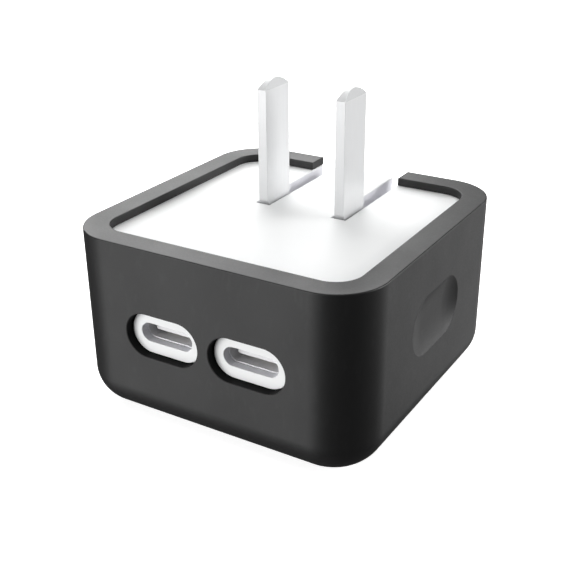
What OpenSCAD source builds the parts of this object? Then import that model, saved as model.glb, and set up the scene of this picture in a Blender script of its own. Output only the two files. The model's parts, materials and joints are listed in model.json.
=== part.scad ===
// Wall charger with two USB-C sockets and a folding two-blade plug, in a soft sleeve.
// Millimetres. Origin: middle of the sleeve's underside. +Z: along the standing blades.
// The sockets face -Y and the blades fold down towards +Y.

/* [Sleeve] */
// Outside width and depth of the sleeve
sleeve_w = 46; // [45.6:0.1:47]
// Height of the sleeve from its underside to the top of its rim
sleeve_h = 27; // [27:0.1:28]
// Radius of the sleeve's four upright corners
sleeve_corner_r = 7.3; // [7:0.1:8]
// Radius of the roll under the sleeve's lower edge
sleeve_foot_r = 5.4; // [4.8:0.1:5.8]
// Thickness of the rim that folds over the charger's face
rim_t = 1.2; // [1:0.1:1.3]
// Width of the rim, seen from above
rim_w = 3.65; // [3.4:0.05:3.8]
// Width of the gap in the rear rim, where the folded blades pass
gap_w = 15.2; // [15:0.1:16]
// Radius of the gap's two lower corners
gap_corner_r = 1.5; // [0.8:0.1:2]
// Width of the window round each socket
window_w = 11.8; // [11.2:0.1:12.2]
// Height of the window round each socket
window_h = 6.5; // [6:0.1:6.8]
// Length of the finger dish on each side
dish_l = 15.4; // [14:0.2:17]
// Height of the finger dish
dish_h = 8.8; // [8:0.2:9.4]
// Depth of the finger dish at its middle
dish_d = 0.85; // [0.5:0.05:1]
// Height of the middle of the finger dish
dish_z = 15.6; // [14:0.2:17]

/* [Charger body] */
// Outside width and depth of the charger's own body
body_w = 42.5; // [42.3:0.1:42.6]
// Radius of the body's lower edge
body_foot_r = 3.65; // [3:0.05:4]
// Radius of the body's upper edge, under the rim
body_edge_r = 0.4; // [0.3:0.1:0.5]
// Thickness of the body's walls
wall_t = 1.5; // [1.4:0.05:1.6]
// Thickness of the face that the blades stand on
face_t = 1.4; // [1.3:0.05:1.5]
// Height where the face cover meets the shell
parting_z = 18.2; // [17.8:0.1:18.2]

/* [Blades] */
// Distance between the middles of the two blades
blade_pitch = 12.7; // [12.6:0.1:12.8]
// Width of a blade
blade_w = 6.3; // [6.1:0.1:6.5]
// Thickness of a blade
blade_t = 1.5; // [1.4:0.05:1.55]
// How far a blade stands out of the face
blade_l = 18.2; // [17.4:0.1:18.4]
// Place of the blades' front edge
blade_front_y = 2.4; // [2.2:0.1:2.6]
// Depth of the hinge axis below the face, and behind the blades' front edge
hinge_inset = 1.8; // [1.8:0.05:1.85]
// Width of the slot that a folded blade lies in
slot_w = 2.3; // [2.2:0.05:2.4]

/* [Sockets] */
// Distance of each socket from the middle
socket_x = 6.75; // [6.5:0.05:7]
// Height of the middle of the sockets
socket_z = 14.2; // [13.9:0.1:14.3]
// Width of the hole in the body at each socket
port_w = 8.4; // [8.35:0.05:8.6]
// Height of the hole in the body at each socket
port_h = 2.8; // [2.7:0.05:2.9]

/* [Hidden] */
$fn = 48;

fit = 0.05;                                  // room between pieces that lie against each other
cut = 1;                                     // how far a cutting shape runs past a face
LEFT = -1;
RIGHT = 1;

// Heights of the body
body_z = (sleeve_w - body_w) / 2;
face_z = sleeve_h - rim_t - fit;
body_h = face_z - body_z;
body_corner_r = sleeve_corner_r - body_z;
inner_w = body_w - 2 * wall_t;
floor_z = body_z + wall_t + 0.1;
face_under_z = face_z - face_t;
body_half = body_w / 2;
port_y = -body_half;

// Hinge of the blades
hinge_y = blade_front_y + hinge_inset;
hinge_z = face_z - hinge_inset;
pin_r = 0.6;
pin_run = 0.05;                              // radial room of the pin in its bearings
pin_hold = 0.02;                             // radial room of the pin in the blades and carrier
barrel_r = 1.1;
barrel_half = 8.6;
slot_room = 0.35;                            // room below a blade in its slot
slot_front_room = 0.2;                       // room in front of a standing blade
slot_front_y = blade_front_y - slot_front_room;
slot_floor_z = hinge_z - (blade_w - hinge_inset) - slot_room - 0.05;
blade_x = blade_pitch / 2;

// Raised parts of the body that fill the sleeve's windows and gap
port_pad_d = 0.5;                            // how far a pad stands forward in its window
port_pad_room = 0.15;                        // room between a pad and its window
gap_pad_lap = 0.6;                           // how far the rear pad reaches under the rim's two ends
gap_pad_room = 0.1;                          // room between the rear pad and the sleeve
gap_pad_y = sleeve_w / 2 - 0.3;
well_wall = 0.8;
well_back_y = 9.6;

// Blade tip and root, measured from the hinge axis
tip_arc_r = 4.5;
tip_bevel_l = 1.3;
tip_bevel_d = 0.4;
heel_y = 3.2;
heel_z = 3;
heel_rise = 0.8;
heel_front = 0.4;
rocker_y = 3.4;
rocker_z = 2.6;
rocker_half = (blade_pitch - blade_t) / 2 - pin_hold;

// Cradle that carries the hinge pin
cradle_in = 8.8;
cradle_out = 10;
cradle_front_y = 0.3;
cradle_back_y = 9.4;
cradle_wall = 0.7;
cradle_gap = 0.6;                            // room between the cradle's back wall and the wells
bearing_half = 1.4;
bearing_top = 1.3;
hinge_pocket_top = 1.35;
pocket_room = 0.1;
lip_t = 0.8;                                 // thickness and depth of the lip that centres the cover
lip_drop = 1.1;

// Sockets
usb_out = [8.94, 3.26];
usb_in = [8.34, 2.56];
usb_mouth_y = port_y + 0.85;
usb_l = 7.3;
tongue_w = 6.69;
tongue_t = 0.7;
tongue_tip_y = port_y + 1.35;
tongue_root_y = usb_mouth_y + 6;
contact_pitch = 0.5;
contact_n = 12;

// Boards, from the floor up
sheet_t = 0.2;
spreader_t = 0.4;
pad_t = 0.4;
switch_t = 0.8;
board_t = 1;
spreader_z = floor_z + fit + sheet_t;
switch_z = spreader_z + spreader_t + pad_t;
board_z = switch_z + switch_t;
top_z = board_z + board_t;
board_w = 38.6;
board_corner_r = 3.6;
post_at = 15.6;                              // distance of the board's four posts from the middle, each way
post_r = 1.5;

// Board of the sockets, with the controllers under it and the pins that carry it
port_board_size = [27, 9.8, 0.78];
port_board_y = -14.4;
port_board_z = socket_z - usb_out[1] / 2 - 0.8;
controller_w = 4;
controller_t = 0.7;
controller_y = -14;
coil_size = [1.2, 2, 0.5];
coil_at = 3.2;
header_y = -10.8;
header_pitch = 2.4;
header_size = [12, 1.6, 1.8];
header_pin_w = 0.6;
header_pin_out = 0.5;                        // how far its pins stand out under the main board
header_hole_r = 0.45;

// Transformer: two E cores round a bobbin
transformer_at = [-10, -2.2, top_z + 0.6];
core_size = [14.4, 8.8, 10.4];
core_window = [11.4, 7.2];
core_leg_w = 4.4;
bobbin_flange = [10.8, 12.6, 0.7];
bobbin_flanges_z = [1.7, 8];
bobbin_hole = [4.6, 9];
bobbin_wall = 0.15;
bobbin_pin_r = 0.35;
bobbin_pins_x = [-4.6, 0, 4.6];
bobbin_pin_y = 5.8;
winding_size = [10.4, 12, 5.52];
winding_z = 2.44;

// Common-mode choke: a ring lying flat with two windings
choke_at = [0.3, 14.6, top_z + 0.1];
choke_r = [2.3, 3.9];
choke_h = 3.4;
choke_cover = 0.8;                           // thickness of the windings round the ring
choke_sweep = 140;

// Capacitors, fuse and rectifier
bulk_x = 14.4;
bulk_y = [-3.6, 5.4, 14.4];
bulk_r = 4;
bulk_h = 15.2;
output_can_at = [16.6, -13.2];
output_can_r = 2.5;
output_can_h = 9;
can_step = 0.3;                              // height of the smaller foot under a can
lead_r = 0.35;
film_at = [-14, 14.2, top_z + 0.2];
film_size = [9.6, 5, 8.6];
film_lead_x = 3.6;
safety_at = [4.6, 1.6, top_z + 4.4];
safety_r = 3.5;
safety_t = 2.6;
safety_lead_x = 1.8;
fuse_at = [0, 7, top_z + 2];
fuse_r = 1.5;
fuse_l = 7;
fuse_cap_r = 1.75;
fuse_cap_l = 1.3;
bridge_at = [-14, 7.6, top_z];
bridge_size = [6.4, 4.4, 1.3];
bridge_lead = [0.8, 1, 0.25];
bridge_lead_at = [2.4, 2.6];
inductor_at = [4.6, -5, top_z];
inductor_size = [6.6, 6.6, 3.6];

// Power switch under the main board, its pad, the spreader and the sheet
switch_w = 8;
switch_at = [2, 0];
spreader_w = 27;
sheet_w = 28;

// Springs
detent_half = 3.2;
detent_w = 3;
detent_t = 0.15;
detent_rise = 0.09;
spring_x = 7.4;
spring_t = 0.3;
spring_w = 2.2;
spring_room = 0.2;                           // room round a contact spring in the cradle
spring_foot = 2;
spring_y = hinge_y + 1.7;
spring_top_z = hinge_z - 1;

module rounded_square(w, d, r) {
    square([w - 2 * r, d], center = true);
    square([w, d - 2 * r], center = true);
    for (x = [-1, 1], y = [-1, 1])
        translate([x * (w / 2 - r), y * (d / 2 - r)]) circle(r);
}

// A flat plate with round upright corners, standing on z = 0
module plate(w, d, h, r) {
    linear_extrude(h) rounded_square(w, d, r);
}

// A prism along Y whose section is an oblong with round ends
module oblong_y(w, h, l) {
    rotate([90, 0, 0]) linear_extrude(l, center = true) {
        square([w - h, h], center = true);
        for (x = [-1, 1]) translate([x * (w - h) / 2, 0]) circle(h / 2);
    }
}

// Section of a wall's edge: r deep, h tall, with its foot and head rounded
module edge_section(r, h, foot, head) {
    translate([0, foot]) square([r, h - foot - head]);
    if (foot > 0) {
        square([r - foot, foot]);
        intersection() {
            translate([r - foot, foot]) circle(foot);
            square([r, foot]);
        }
    }
    if (head > 0) {
        translate([0, h - head]) square([r - head, head]);
        intersection() {
            translate([r - head, h - head]) circle(head);
            translate([0, h - head]) square([r, head]);
        }
    }
}

// A square block with round upright corners and rounded lower and upper edges
module soft_block(w, h, r, foot, head) {
    run = w - 2 * r;
    translate([-run / 2, -run / 2, 0]) cube([run, run, h]);
    for (turn = [0 : 90 : 270]) rotate(turn) {
        translate([run / 2, run / 2, 0])
            rotate_extrude(angle = 90) edge_section(r, h, foot, head);
        translate([run / 2, run / 2, 0])
            rotate([90, 0, 0]) linear_extrude(run) edge_section(r, h, foot, head);
    }
}

module body_form(grow = 0) {
    translate([0, 0, body_z - grow])
        soft_block(body_w + 2 * grow, body_h + 2 * grow, body_corner_r + grow,
                   body_foot_r + grow, body_edge_r + grow);
}

module body_hollow() {
    translate([0, 0, floor_z])
        plate(inner_w, inner_w, face_under_z - floor_z, body_corner_r - wall_t);
}

module finger_dish() {
    r = (pow(dish_h / 2, 2) + pow(dish_d, 2)) / (2 * dish_d);
    half = (dish_l - dish_h) / 2;
    translate([sleeve_w / 2 - dish_d + r, 0, dish_z]) {
        rotate([90, 0, 0]) cylinder(h = 2 * half, r = r, center = true, $fn = 96);
        for (y = [-half, half]) translate([0, y, 0]) sphere(r, $fn = 96);
    }
}

// The rear pad's block, or with some room round it the place cut for it in the sleeve
module gap_pad(room, back) {
    half = gap_w / 2 + gap_pad_lap + room;
    low = slot_floor_z - well_wall - room;
    front = body_half - wall_t / 2;
    r = gap_corner_r;
    translate([-half, front, low + r]) cube([2 * half, back - front, face_z + room / 2 - low - r]);
    translate([r - half, front, low]) cube([2 * (half - r), back - front, 2 * r]);
    for (x = [-1, 1])
        translate([x * (half - r), (front + back) / 2, low + r])
            rotate([90, 0, 0]) cylinder(h = back - front, r = r, center = true);
}

module rear_gap() {
    gap_pad(gap_pad_room, sleeve_w / 2 + cut);
    translate([-gap_w / 2, sleeve_w / 2 - 2 * rim_w, face_z - wall_t])
        cube([gap_w, 2 * rim_w + cut, sleeve_h]);
}

module silicone_sleeve() color("#4a4a4a") difference() {
    soft_block(sleeve_w, sleeve_h, sleeve_corner_r, sleeve_foot_r, 0);
    body_form(fit);
    translate([0, 0, face_z - body_edge_r])
        plate(sleeve_w - 2 * rim_w, sleeve_w - 2 * rim_w, sleeve_h, sleeve_corner_r - rim_w + 0.2);
    rear_gap();
    for (side = [LEFT, RIGHT]) {
        translate([side * socket_x, -sleeve_w / 2, socket_z])
            oblong_y(window_w, window_h, 2 * rim_w);
        rotate(side == RIGHT ? 0 : 180) finger_dish();
    }
}

module body_shell() color("#f4f5f4") difference() {
    union() {
        difference() {
            intersection() {
                body_form();
                translate([0, 0, parting_z / 2]) cube([2 * body_w, 2 * body_w, parting_z], center = true);
            }
            body_hollow();
        }
        // Posts that the main board rests on
        for (x = [-1, 1], y = [-1, 1])
            translate([x * post_at, y * post_at, floor_z - wall_t / 4])
                cylinder(h = board_z - floor_z + wall_t / 4, r = post_r);
        // Pads round the sockets
        for (side = [LEFT, RIGHT])
            translate([side * socket_x, -body_half, socket_z])
                oblong_y(window_w - 2 * port_pad_room, window_h - 2 * port_pad_room, 2 * port_pad_d);
    }
    for (side = [LEFT, RIGHT]) translate([side * socket_x, 0, socket_z]) {
        translate([0, port_y, 0]) oblong_y(port_w, port_h, 4 * wall_t);
        translate([0, usb_mouth_y - fit + wall_t, 0])
            oblong_y(usb_out[0] + 4 * fit, usb_out[1] + 4 * fit, 2 * wall_t);
    }
}

// The slot that one blade lies in when it is folded, open at the back
module blade_slot(side) {
    translate([side * blade_x - slot_w / 2, slot_front_y, slot_floor_z])
        cube([slot_w, body_w, body_h]);
}

module face_cover() color("#f4f5f4") difference() {
    union() {
        difference() {
            intersection() {
                body_form();
                translate([0, 0, parting_z + body_h / 2])
                    cube([2 * body_w, 2 * body_w, body_h], center = true);
            }
            body_hollow();
        }
        // Lip that centres the cover in the shell
        translate([0, 0, parting_z - lip_drop]) difference() {
            plate(inner_w - 2 * fit, inner_w - 2 * fit, 2 * lip_drop, body_corner_r - wall_t - fit);
            translate([0, 0, -cut])
                plate(inner_w - 2 * lip_t, inner_w - 2 * lip_t, 2 * lip_drop + 2 * cut,
                      body_corner_r - wall_t - lip_t);
        }
        // Wells round the slots
        for (side = [LEFT, RIGHT])
            translate([side * blade_x - slot_w / 2 - well_wall, well_back_y, slot_floor_z - well_wall])
                cube([slot_w + 2 * well_wall, body_half - wall_t / 2 - well_back_y, face_z - slot_floor_z]);
        // Pad that fills the sleeve's gap
        gap_pad(0, gap_pad_y);
    }
    for (side = [LEFT, RIGHT]) blade_slot(side);
    // Room for the hinge under the face
    translate([-cradle_out - pocket_room, hinge_y - bearing_half - pocket_room, face_under_z - cut])
        cube([2 * (cradle_out + pocket_room), 2 * (bearing_half + pocket_room),
              hinge_z + hinge_pocket_top - face_under_z + cut]);
}

// Tray under the hinge; its two ends carry the pin
module hinge_cradle() color("#e4e6e6") difference() {
    union() {
        bottom = slot_floor_z - well_wall;
        top = face_under_z - fit;
        translate([-cradle_out, cradle_front_y, bottom])
            cube([2 * cradle_out, cradle_back_y - cradle_front_y, well_wall]);
        translate([-cradle_out, cradle_front_y, bottom])
            cube([2 * cradle_out, cradle_wall, top - bottom]);
        translate([-blade_x + slot_w / 2 + cradle_gap, cradle_back_y - cradle_wall, bottom])
            cube([2 * blade_x - slot_w - 2 * cradle_gap, cradle_wall, top - bottom]);
        for (side = [LEFT, RIGHT]) translate([side * (cradle_in + cradle_out) / 2, 0, 0]) {
            translate([-(cradle_out - cradle_in) / 2, cradle_front_y, bottom])
                cube([cradle_out - cradle_in, cradle_back_y - cradle_front_y, top - bottom]);
            translate([-(cradle_out - cradle_in) / 2, hinge_y - bearing_half, bottom])
                cube([cradle_out - cradle_in, 2 * bearing_half, hinge_z + bearing_top - bottom]);
        }
    }
    translate([0, hinge_y, hinge_z]) rotate([0, 90, 0])
        cylinder(h = 4 * cradle_out, r = pin_r + pin_run, center = true);
    // Passages of the two contact springs
    for (side = [LEFT, RIGHT])
        translate([side * spring_x, spring_y + spring_w / 2, slot_floor_z])
            cube([spring_t + 2 * spring_room, spring_w + 2 * spring_room, 4 * well_wall], center = true);
}

// Outline of a blade in the Y-Z plane, from the hinge axis, before its tip is rounded
module blade_outline() {
    front = -hinge_inset;
    back = blade_w - hinge_inset;
    top = blade_l + hinge_inset;
    polygon([[front, 0], [front, top], [back, top], [back, -heel_rise],
             [heel_y, -heel_z], [heel_front, -heel_z], [0, 0]]);
}

// Outline of a blade's thickness in the X-Z plane, with its tip bevelled
module blade_edge() {
    half = blade_t / 2;
    top = blade_l + hinge_inset;
    polygon([[-half, -heel_z - cut], [half, -heel_z - cut], [half, top - tip_bevel_l],
             [half - tip_bevel_d, top + 0.01], [tip_bevel_d - half, top + 0.01], [-half, top - tip_bevel_l]]);
}

module prong(side) translate([side * blade_x, hinge_y, hinge_z]) difference() {
    intersection() {
        union() {
            rotate([90, 0, 90]) linear_extrude(2 * blade_t, center = true) blade_outline();
            rotate([0, 90, 0]) cylinder(h = 2 * blade_t, r = hinge_inset, center = true);
        }
        rotate([90, 0, 0]) linear_extrude(4 * blade_w, center = true) blade_edge();
        union() {
            translate([0, blade_w / 2 - hinge_inset, blade_l + hinge_inset - tip_arc_r])
                rotate([0, 90, 0]) cylinder(h = 2 * blade_t, r = tip_arc_r, center = true, $fn = 96);
            translate([-blade_t, -blade_w, -blade_w])
                cube([2 * blade_t, 3 * blade_w, blade_w + blade_l + hinge_inset - tip_arc_r]);
        }
    }
    rotate([0, 90, 0]) cylinder(h = 4 * blade_t, r = barrel_r + pin_hold, center = true);
}

module prong_left() color("#dcdddc") prong(LEFT);
module prong_right() color("#dcdddc") prong(RIGHT);

// Barrel and rocker moulded round the roots of both blades
module prong_carrier() color("#2e2f31") difference() {
    translate([0, hinge_y, hinge_z]) {
        rotate([0, 90, 0]) cylinder(h = 2 * barrel_half, r = barrel_r, center = true);
        translate([-rocker_half, 0, -rocker_z]) cube([2 * rocker_half, rocker_y, rocker_z]);
    }
    translate([0, hinge_y, hinge_z]) rotate([0, 90, 0])
        cylinder(h = 4 * barrel_half, r = pin_r + pin_hold, center = true);
}

module hinge_pin() color("#b9bcc0")
    translate([0, hinge_y, hinge_z]) rotate([0, 90, 0])
        cylinder(h = 2 * cradle_out - 0.2, r = pin_r, center = true);

// Arched leaf on the cradle's floor that holds the rocker up or down
module detent_spring() color("#c9a35a")
    translate([0, hinge_y, slot_floor_z + 0.02]) rotate([90, 0, 90]) linear_extrude(detent_w, center = true) {
        high = detent_t + detent_rise;
        polygon([[-detent_half, 0], [-detent_half, detent_t], [-1.2, detent_t], [-0.6, high],
                 [0.6, high], [1.2, detent_t], [detent_half, detent_t], [detent_half, 0],
                 [1, 0], [0.5, detent_rise], [-0.5, detent_rise], [-1, 0]]);
    }

// Bronze leaf from the main board up to the side of a blade's root
module contact_spring(side) {
    foot_x = side == LEFT ? spring_t / 2 - spring_foot : -spring_t / 2;
    translate([side * spring_x - spring_t / 2, spring_y, top_z + spring_t])
        cube([spring_t, spring_w, spring_top_z - top_z - spring_t]);
    translate([side * spring_x + foot_x, spring_y, top_z]) cube([spring_foot, spring_w, spring_t]);
}

module contact_spring_left() color("#c98f4a") contact_spring(LEFT);
module contact_spring_right() color("#c98f4a") contact_spring(RIGHT);

// Metal shroud of a USB-C socket
module usb_shell(side) translate([side * socket_x, usb_mouth_y + usb_l / 2, socket_z]) difference() {
    oblong_y(usb_out[0], usb_out[1], usb_l);
    oblong_y(usb_in[0], usb_in[1], 2 * usb_l);
}

module usb_shell_left() color("#c4c7ca") usb_shell(LEFT);
module usb_shell_right() color("#c4c7ca") usb_shell(RIGHT);

// Insulator of a socket: the tongue and the block that closes the shroud's back
module usb_tongue(side) translate([side * socket_x, 0, socket_z]) {
    root_l = usb_mouth_y + usb_l - tongue_root_y;
    translate([-tongue_w / 2, tongue_tip_y, -tongue_t / 2])
        cube([tongue_w, tongue_root_y - tongue_tip_y + 0.1, tongue_t]);
    translate([0, tongue_root_y + root_l / 2, 0])
        oblong_y(usb_in[0] - 2 * pin_hold, usb_in[1] - 2 * pin_hold, root_l);
}

module usb_tongue_left() color("#d8d9da") usb_tongue(LEFT);
module usb_tongue_right() color("#d8d9da") usb_tongue(RIGHT);

module usb_contacts(side) {
    length = tongue_root_y - tongue_tip_y - 0.9;
    for (i = [0 : contact_n - 1], face = [-1, 1])
        translate([side * socket_x + (i - (contact_n - 1) / 2) * contact_pitch,
                   tongue_tip_y + 0.7 + length / 2, socket_z + face * (tongue_t / 2 + 0.04)])
            cube([0.26, length, 0.06], center = true);
}

module usb_contacts_left() color("#d8b45a") usb_contacts(LEFT);
module usb_contacts_right() color("#d8b45a") usb_contacts(RIGHT);

// Small board that the two sockets are soldered to
module port_board() color("#2f5d46")
    translate([0, port_board_y, port_board_z])
        plate(port_board_size[0], port_board_size[1], port_board_size[2], 1);

module controller_chips() color("#26272a") for (side = [LEFT, RIGHT])
    translate([side * socket_x, controller_y, port_board_z - fit]) {
        translate([-controller_w / 2, -controller_w / 2, -controller_t])
            cube([controller_w, controller_w, controller_t]);
        translate([coil_at, -coil_size[1] / 2, -coil_size[2]]) cube(coil_size);
    }

// Row of pins that joins the two boards
module board_header() color("#2b2b2d") {
    foot = board_z - header_pin_out;
    translate([-header_size[0] / 2, header_y - header_size[1] / 2, top_z]) cube(header_size);
    for (i = [-2 : 2]) translate([i * header_pitch - header_pin_w / 2, header_y - header_pin_w / 2, foot])
        cube([header_pin_w, header_pin_w, port_board_z - 0.02 - foot]);
}

module main_board() color("#2f5d46") difference() {
    translate([0, 0, board_z]) plate(board_w, board_w, board_t, board_corner_r);
    // Clearances for the five pins of the header
    for (i = [-2 : 2]) translate([i * header_pitch, header_y, board_z - cut])
        cylinder(h = board_t + 2 * cut, r = header_hole_r);
}

// Ferrite core: two E halves that close round the bobbin
module transformer_core() color("#3a3b3e") translate(transformer_at) difference() {
    translate([-core_size[0] / 2, -core_size[1] / 2, 0]) cube(core_size);
    translate([0, 0, core_size[2] / 2]) rotate([90, 0, 0]) difference() {
        cube([core_window[0], core_window[1], 2 * core_size[1]], center = true);
        cube([core_leg_w, core_window[1], 4 * core_size[1]], center = true);
    }
}

// A hole for the core's middle leg, standing on z = -cut
module bobbin_bore() {
    translate([-bobbin_hole[0] / 2, -bobbin_hole[1] / 2, -cut])
        cube([bobbin_hole[0], bobbin_hole[1], core_size[2]]);
}

module transformer_bobbin() color("#3f4a3f") translate(transformer_at) {
    for (z = bobbin_flanges_z) translate([0, 0, z]) difference() {
        translate([-bobbin_flange[0] / 2, -bobbin_flange[1] / 2, 0]) cube(bobbin_flange);
        bobbin_bore();
    }
    translate([0, 0, bobbin_flanges_z[0] + bobbin_flange[2] / 2]) difference() {
        translate([-bobbin_hole[0] / 2 - bobbin_wall, -bobbin_hole[1] / 2 - bobbin_wall, 0])
            cube([bobbin_hole[0] + 2 * bobbin_wall, bobbin_hole[1] + 2 * bobbin_wall,
                  bobbin_flanges_z[1] - bobbin_flanges_z[0]]);
        bobbin_bore();
    }
    pin_h = bobbin_flanges_z[0] + bobbin_flange[2] / 2 + transformer_at[2] - top_z;
    for (x = bobbin_pins_x, y = [-bobbin_pin_y, bobbin_pin_y])
        translate([x, y, top_z - transformer_at[2]]) cylinder(h = pin_h, r = bobbin_pin_r);
}

module transformer_winding() color("#e0b23a")
    translate(transformer_at + [0, 0, winding_z]) difference() {
        translate([-winding_size[0] / 2, -winding_size[1] / 2, 0]) cube(winding_size);
        translate([-bobbin_hole[0] / 2 - bobbin_wall - fit, -bobbin_hole[1] / 2 - bobbin_wall - fit, -cut])
            cube([bobbin_hole[0] + 2 * (bobbin_wall + fit), bobbin_hole[1] + 2 * (bobbin_wall + fit),
                  2 * winding_size[2]]);
    }

// A ring standing on z = 0, or the part of it inside an angle
module ring(inner, outer, h, angle = 360) {
    rotate_extrude(angle = angle) translate([inner, 0]) square([outer - inner, h]);
}

module choke_core() color("#4b4d52") translate(choke_at + [0, 0, choke_cover])
    ring(choke_r[0], choke_r[1], choke_h);

module choke_winding() color("#b8622c") translate(choke_at) for (turn = [20, 200]) rotate(turn)
    difference() {
        ring(choke_r[0] - choke_cover, choke_r[1] + choke_cover, choke_h + 2 * choke_cover, choke_sweep);
        translate([0, 0, choke_cover - pin_hold])
            ring(choke_r[0] - pin_hold, choke_r[1] + pin_hold, choke_h + 2 * pin_hold);
    }

// A round can on a slightly smaller foot
module can(r, h) {
    translate([0, 0, can_step]) cylinder(h = h - can_step, r = r);
    cylinder(h = can_step, r = r - can_step);
}

module bulk_capacitors() color("#2b2f45") for (y = bulk_y)
    translate([bulk_x, y, top_z]) can(bulk_r, bulk_h);

module output_capacitors() color("#b7babd") for (side = [LEFT, RIGHT])
    translate([side * output_can_at[0], output_can_at[1], top_z]) can(output_can_r, output_can_h);

module film_capacitor() color("#d9b64a") translate(film_at) {
    translate([-film_size[0] / 2, -film_size[1] / 2, 0]) cube(film_size);
    for (x = [-film_lead_x, film_lead_x]) translate([x, 0, top_z - film_at[2]])
        cylinder(h = film_at[2] - top_z + 0.1, r = lead_r);
}

module safety_capacitor() color("#3c6ea8") translate(safety_at) {
    rotate([90, 0, 0]) cylinder(h = safety_t, r = safety_r, center = true);
    for (x = [-safety_lead_x, safety_lead_x]) translate([x, 0, top_z - safety_at[2]])
        cylinder(h = safety_at[2] - top_z - safety_r / 2, r = lead_r);
}

module fuse() color("#9c8f7c") translate(fuse_at) rotate([0, 90, 0]) {
    cylinder(h = fuse_l, r = fuse_r, center = true);
    for (x = [-1, 1]) translate([0, 0, x * (fuse_l + fuse_cap_l) / 2])
        cylinder(h = fuse_cap_l, r = fuse_cap_r, center = true);
}

module bridge_rectifier() color("#27282b") translate(bridge_at) {
    translate([-bridge_size[0] / 2, -bridge_size[1] / 2, bridge_lead[2] - fit]) cube(bridge_size);
    for (x = [-1, 1], y = [-1, 1])
        translate([x * bridge_lead_at[0] - bridge_lead[0] / 2, y * bridge_lead_at[1] - bridge_lead[1] / 2, 0])
            cube(bridge_lead);
}

module output_inductor() color("#5b5d61") translate(inductor_at)
    plate(inductor_size[0], inductor_size[1], inductor_size[2], 0.8);

module power_switch() color("#26272a") translate([switch_at[0], switch_at[1], switch_z])
    plate(switch_w, switch_w, switch_t, 0.3);

module thermal_pad() color("#8f9db0") translate([switch_at[0], switch_at[1], switch_z - pad_t])
    plate(switch_w, switch_w, pad_t, 0.3);

module heat_spreader() color("#bfc2c5") translate([0, 0, spreader_z])
    plate(spreader_w, spreader_w, spreader_t, 1);

module insulating_sheet() color("#e8e2cf") translate([0, 0, floor_z + fit])
    plate(sheet_w, sheet_w, sheet_t, 1);

silicone_sleeve();
body_shell();
face_cover();
hinge_cradle();
prong_left();
prong_right();
prong_carrier();
hinge_pin();
detent_spring();
contact_spring_left();
contact_spring_right();
usb_shell_left();
usb_shell_right();
usb_tongue_left();
usb_tongue_right();
usb_contacts_left();
usb_contacts_right();
port_board();
controller_chips();
board_header();
main_board();
transformer_core();
transformer_bobbin();
transformer_winding();
choke_core();
choke_winding();
bulk_capacitors();
output_capacitors();
film_capacitor();
safety_capacitor();
fuse();
bridge_rectifier();
output_inductor();
power_switch();
thermal_pad();
heat_spreader();
insulating_sheet();
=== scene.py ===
"""Looks of a wall charger with a folding plug in a soft sleeve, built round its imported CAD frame.

Sizes in the classes are millimetres. +Z is up, the sockets face -Y and the blades fold towards +Y.
HAIR, NEAR, SLIVER and KEEN are tolerances. PAST is how far a cutting solid reaches past what it cuts.
"""

import json
import logging
import math
from dataclasses import dataclass
from enum import Enum
from typing import Callable

import bmesh
import bpy
from mathutils import Matrix, Vector


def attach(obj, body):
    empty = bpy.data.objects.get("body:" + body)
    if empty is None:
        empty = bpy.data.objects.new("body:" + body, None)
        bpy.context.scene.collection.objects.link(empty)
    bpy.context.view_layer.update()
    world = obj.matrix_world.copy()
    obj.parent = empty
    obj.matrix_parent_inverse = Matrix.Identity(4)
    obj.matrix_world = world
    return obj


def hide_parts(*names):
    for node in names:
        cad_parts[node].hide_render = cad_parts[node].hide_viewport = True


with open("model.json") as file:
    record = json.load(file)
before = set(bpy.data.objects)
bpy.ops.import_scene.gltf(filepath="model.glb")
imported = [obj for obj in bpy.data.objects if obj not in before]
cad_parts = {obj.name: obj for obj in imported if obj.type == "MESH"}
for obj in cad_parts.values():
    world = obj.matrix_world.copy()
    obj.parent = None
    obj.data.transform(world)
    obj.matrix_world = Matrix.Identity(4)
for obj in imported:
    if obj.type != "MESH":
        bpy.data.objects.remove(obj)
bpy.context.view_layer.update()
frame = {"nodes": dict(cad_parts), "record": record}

MM = 0.001
HAIR = 0.02
NEAR = 0.03
SLIVER = 0.001
KEEN = 0.0002
PAST = 2
LOG = logging.getLogger("charger")

Piece = bpy.types.Object
Socket = bpy.types.NodeSocket
Point = tuple[float, float, float]
Colour = tuple[float, float, float]
Dress = tuple[Socket, Socket, list[tuple[Socket, float]]]
EdgeTest = FaceTest = Callable[[Vector, Vector], bool]


class Side(Enum):
    """The two halves of the charger, by the sign of X."""

    LEFT = -1
    RIGHT = 1


class Cut(Enum):
    """What one solid does to another."""

    TAKE_AWAY = "DIFFERENCE"
    ADD = "UNION"
    KEEP_INSIDE = "INTERSECT"


class Body(Enum):
    """The bodies of the frame."""

    CHARGER = "charger"
    PRONGS = "prongs"


# ---- modelling


def take(piece: Piece) -> None:
    """Selects one piece alone and makes it the active one.

    Args:
        piece: The piece that the next operator works on.
    """
    bpy.ops.object.select_all(action="DESELECT")
    piece.select_set(True)
    bpy.context.view_layer.objects.active = piece


def settle(name: str) -> Piece:
    """Names the primitive just added and applies its place to its mesh.

    Args:
        name: The name the piece gets.

    Returns:
        The piece, at the origin, unturned and unscaled.
    """
    piece = bpy.context.object
    piece.name = name
    piece.data.name = name
    take(piece)
    bpy.ops.object.transform_apply(location=True, rotation=True, scale=True)
    return piece


def block(name: str, low: Point, high: Point) -> Piece:
    """Adds a block between two corners.

    Args:
        name: The piece's name.
        low: Its lowest corner, in millimetres.
        high: Its highest corner, in millimetres.

    Returns:
        The block.
    """
    middle = [(a + b) / 2 * MM for a, b in zip(low, high)]
    size = [(b - a) * MM for a, b in zip(low, high)]
    bpy.ops.mesh.primitive_cube_add(size=1, location=middle, scale=size)
    return settle(name)


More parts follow.
